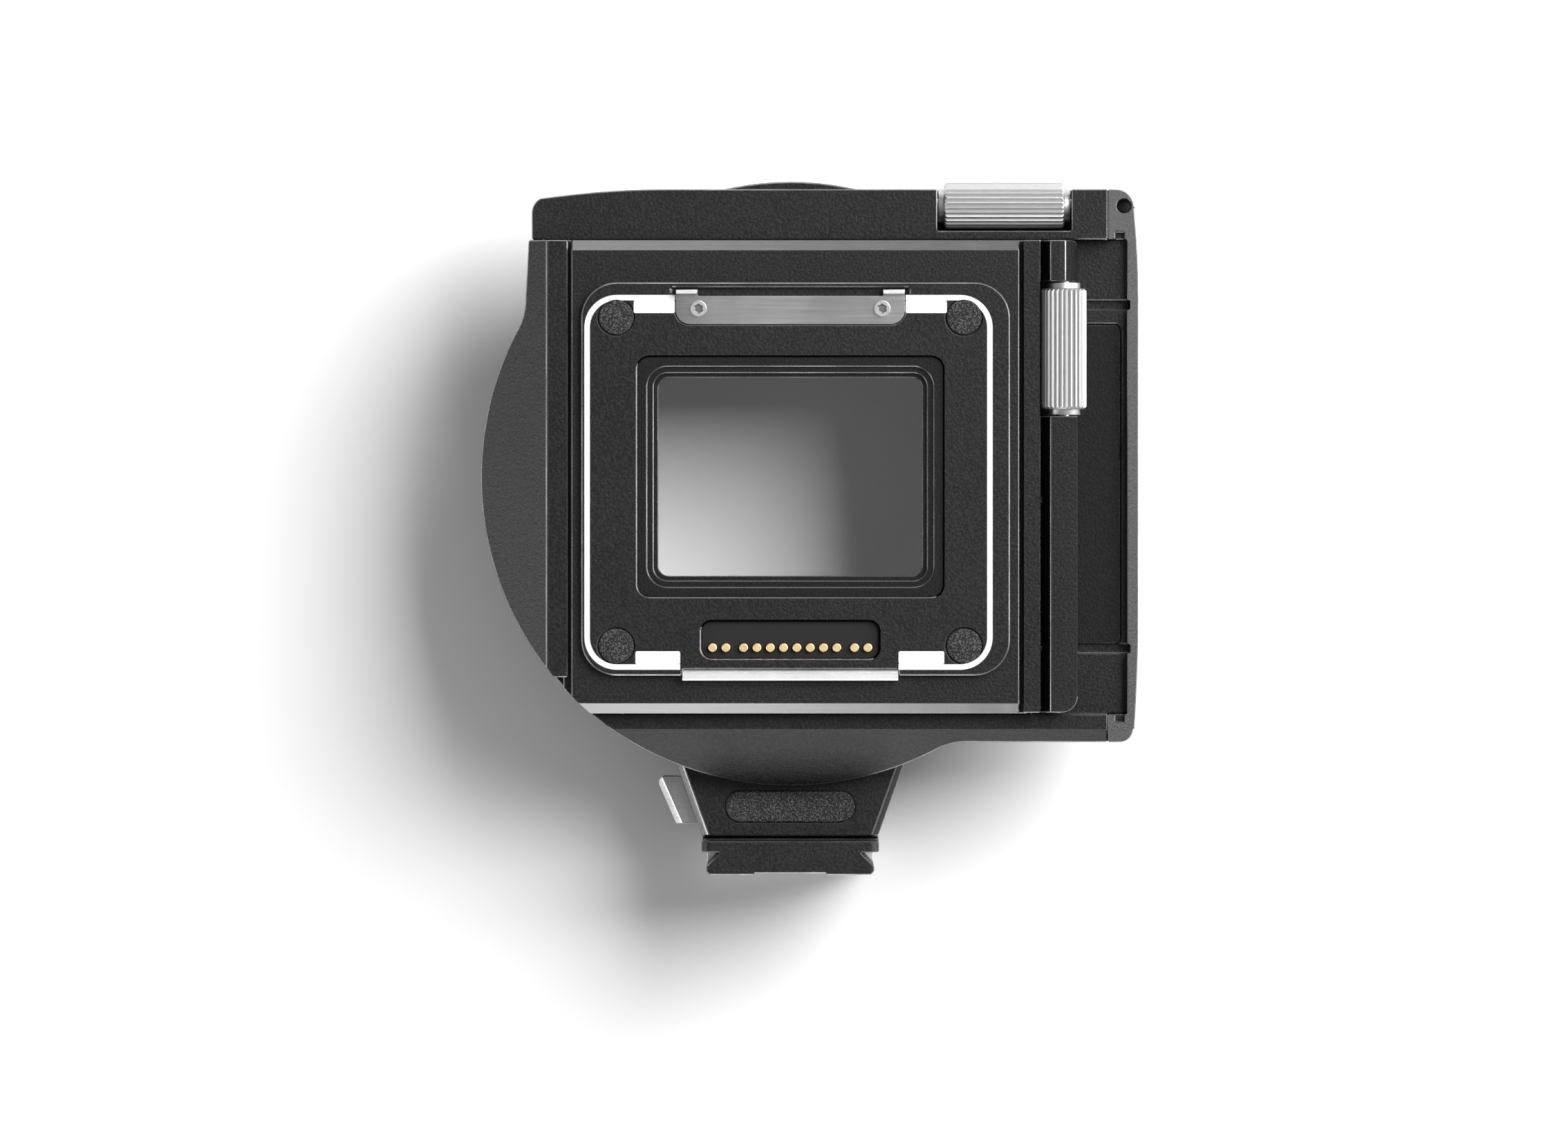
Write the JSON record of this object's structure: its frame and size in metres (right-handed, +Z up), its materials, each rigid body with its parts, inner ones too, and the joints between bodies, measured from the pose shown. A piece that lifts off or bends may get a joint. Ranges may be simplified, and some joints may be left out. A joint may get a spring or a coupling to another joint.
{
  "type": "technical camera body",
  "caption": "Technical camera body for a medium format digital back: round shift body with cross shift, rise and fall, knurled knobs, a lens bayonet and a foot collar for portrait turns.",
  "frame": {"origin": "middle of the foot's base, straight under the lens axis", "axes": "+X right as seen from the digital back, +Y forward along the lens axis, +Z up"},
  "size_m": [0.1488, 0.0533, 0.157],
  "materials": {
    "black_alloy": "fine matte black anodising",
    "black_trim": "dull black",
    "silver_knurl": "turned, clear anodised",
    "bright_steel": "brushed and polished",
    "screw_steel": "dark",
    "bronze": "turned",
    "gold_contact": "gold plated",
    "pad_rubber": "speckled foam rubber",
    "black_plastic": "matte",
    "board_green": "solder mask",
    "white_washer": "slippery plastic"
  },
  "bodies": {
    "foot": {"foot_collar": "black_alloy", "foot_arm": "black_alloy", "foot_plate": "black_alloy", "foot_stop": "bright_steel", "foot_screws": "screw_steel", "foot_pad": "pad_rubber", "lever_pin": "bright_steel", "brake_shoe": "bronze"},
    "lever": {"lock_lever": "bright_steel"},
    "frame": {"front_frame": "black_alloy", "top_cover": "black_alloy", "grip_cover": "black_alloy", "recess_panel": "black_trim", "circuit_board": "board_green", "top_screws": "screw_steel", "x_bushes": "bronze", "lens_ring": "bright_steel", "lens_ring_screws": "screw_steel", "collar_washer": "white_washer", "shutter_bezel": "black_trim", "shutter_switch": "black_plastic"},
    "lens_lock": {"lens_lock_ring": "black_alloy"},
    "button": {"shutter_button": "silver_knurl"},
    "x_drive": {"x_knob": "silver_knurl", "x_lead_screw": "bright_steel"},
    "cross": {"cross_slide": "black_alloy", "guide_keys": "bronze", "x_nut": "bronze", "y_screw_housing": "black_alloy", "y_bushes": "bronze"},
    "y_drive": {"y_knob": "silver_knurl", "y_lead_screw": "bright_steel"},
    "back": {"back_plate": "black_alloy", "mount_face": "black_alloy", "gate_frame": "black_trim", "mount_pads": "pad_rubber", "latch_plate": "bright_steel", "latch_screws": "screw_steel", "ledge_bar": "bright_steel", "contact_block": "black_plastic", "y_nut": "bronze"},
    "pins": {"contact_pins": "gold_contact"}
  },
  "joints": [
    {"name": "body_turn", "type": "hinge", "parent": "foot", "child": "frame", "pos_m": [0, 0, 0.09], "axis": [0, -1, 0], "range_deg": [0, 90]},
    {"name": "lever_swing", "type": "hinge", "parent": "foot", "child": "lever", "pos_m": [-0.017, 0.00075, 0.0167], "axis": [0, 1, 0], "range_deg": [0, 12], "stiffness_Nm_per_rad": 0.05, "springref_deg": -5.73},
    {"name": "lens_lock_turn", "type": "hinge", "parent": "frame", "child": "lens_lock", "pos_m": [0, 0, 0.09], "axis": [0, 1, 0], "range_deg": [0, 30]},
    {"name": "shutter_press", "type": "slide", "parent": "frame", "child": "button", "axis": [0, -1, 0], "range_m": [0, 0.001], "stiffness_N_per_m": 1500},
    {"name": "x_shift", "type": "slide", "parent": "frame", "child": "cross", "axis": [1, 0, 0], "range_m": [-0.012, 0.012]},
    {"name": "x_knob_turn", "type": "hinge", "parent": "frame", "child": "x_drive", "pos_m": [0.0484, -0.01535, 0.1514], "axis": [1, 0, 0], "range_deg": [-1085, 1085]},
    {"name": "y_shift", "type": "slide", "parent": "cross", "child": "back", "axis": [0, 0, 1], "range_m": [-0.012, 0.012]},
    {"name": "y_knob_turn", "type": "hinge", "parent": "cross", "child": "y_drive", "pos_m": [0.0617, -0.02245, 0.1189], "axis": [0, 0, 1], "range_deg": [-1085, 1085]},
    {"name": "pins_press", "type": "slide", "parent": "back", "child": "pins", "axis": [0, 1, 0], "range_m": [0, 0.0008], "stiffness_N_per_m": 3000}
  ],
  "couplings": [
    {"joint": "x_knob_turn", "follows": "x_shift", "rad_per_m": 1570.8},
    {"joint": "y_knob_turn", "follows": "y_shift", "rad_per_m": 1570.8}
  ]
}
